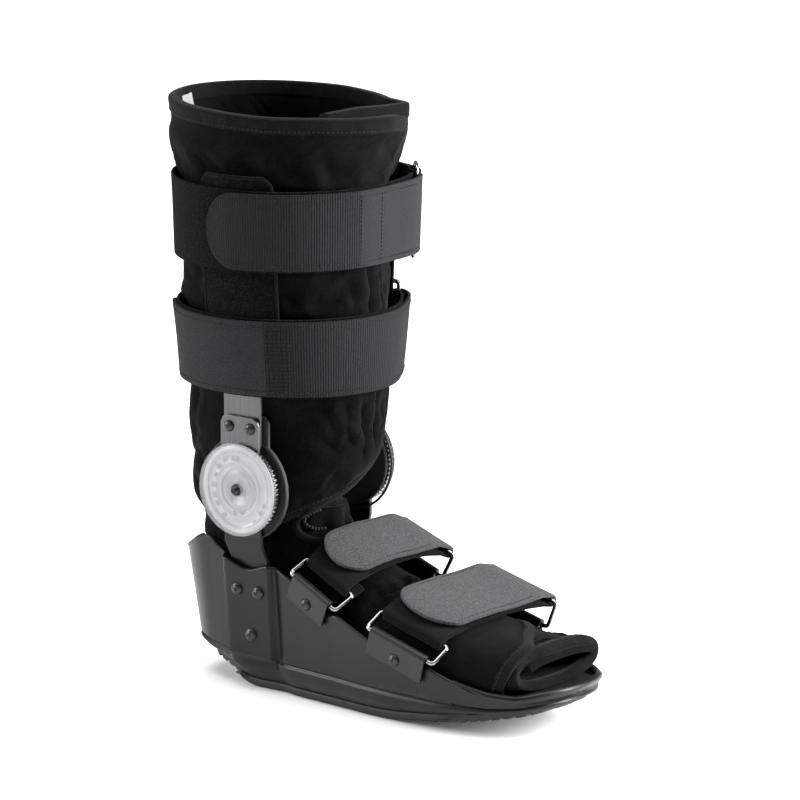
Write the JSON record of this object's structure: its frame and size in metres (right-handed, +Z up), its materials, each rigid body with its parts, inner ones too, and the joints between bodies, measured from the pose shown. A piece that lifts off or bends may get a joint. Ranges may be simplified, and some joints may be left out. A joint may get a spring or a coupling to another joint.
{
  "type": "medical walking boot",
  "caption": "Hinged walking boot: rigid rocker-soled foot shell, side stirrups with round hinge dials, padded fabric leg and foot liner open at the toe, held by webbing straps.",
  "frame": {"origin": "on the floor under the ankle hinge's axis, on the boot's middle plane, at the sole's underside", "axes": "+X towards the toe, +Z up the leg, +Y towards the far side of the picture"},
  "size_m": [0.3155, 0.1566, 0.376],
  "materials": {
    "liner_fabric": "brushed knit over foam",
    "webbing": "ribbed webbing",
    "pile": "looped pile",
    "shell_plastic": "satin",
    "sole_rubber": "matt",
    "footbed": "smooth",
    "black_steel": "satin black",
    "rivet": "satin black",
    "bare_metal": "brushed",
    "clear_cover": "clear moulded plastic",
    "dial_white": "white",
    "wire": "polished",
    "tag": "plain white"
  },
  "bodies": {
    "root": {"shell": "shell_plastic", "footbed": "footbed", "outsole": "sole_rubber", "stirrup_bar_near": "black_steel", "stirrup_bar_far": "black_steel", "shell_rivet_rear_near": "rivet", "shell_rivet_rear_far": "rivet", "shell_rivet_front_near": "rivet", "shell_rivet_front_far": "rivet", "shell_rivet_low_near": "rivet", "shell_rivet_low_far": "rivet", "hinge_pad_near": "pile", "hinge_pad_far": "pile", "hinge_plate_near": "bare_metal", "hinge_plate_far": "bare_metal", "dial_near": "dial_white", "dial_far": "dial_white", "dial_cover_near": "clear_cover", "dial_cover_far": "clear_cover", "hinge_pin_near": "rivet", "hinge_pin_far": "rivet", "plate_rivet_rear_near": "rivet", "plate_rivet_rear_far": "rivet", "plate_rivet_front_near": "rivet", "plate_rivet_front_far": "rivet", "liner_leg": "liner_fabric", "liner_foot": "liner_fabric", "upright_near": "bare_metal", "upright_far": "bare_metal", "upright_sleeve_near": "pile", "upright_sleeve_far": "pile", "leg_strap_upper": "webbing", "leg_ring_upper": "wire", "leg_strap_lower": "webbing", "leg_ring_lower": "wire", "ring_tab_rear_near": "shell_plastic", "ring_tab_rear_far": "shell_plastic", "tab_rivet_rear_near": "rivet", "tab_rivet_rear_far": "rivet", "foot_ring_rear_near": "wire", "foot_ring_rear_far": "wire", "foot_strap_rear": "webbing", "ring_tab_front_near": "shell_plastic", "ring_tab_front_far": "shell_plastic", "tab_rivet_front_near": "rivet", "tab_rivet_front_far": "rivet", "foot_ring_front_near": "wire", "foot_ring_front_far": "wire", "foot_strap_front": "webbing", "care_tag": "tag"}
  },
  "joints": []
}
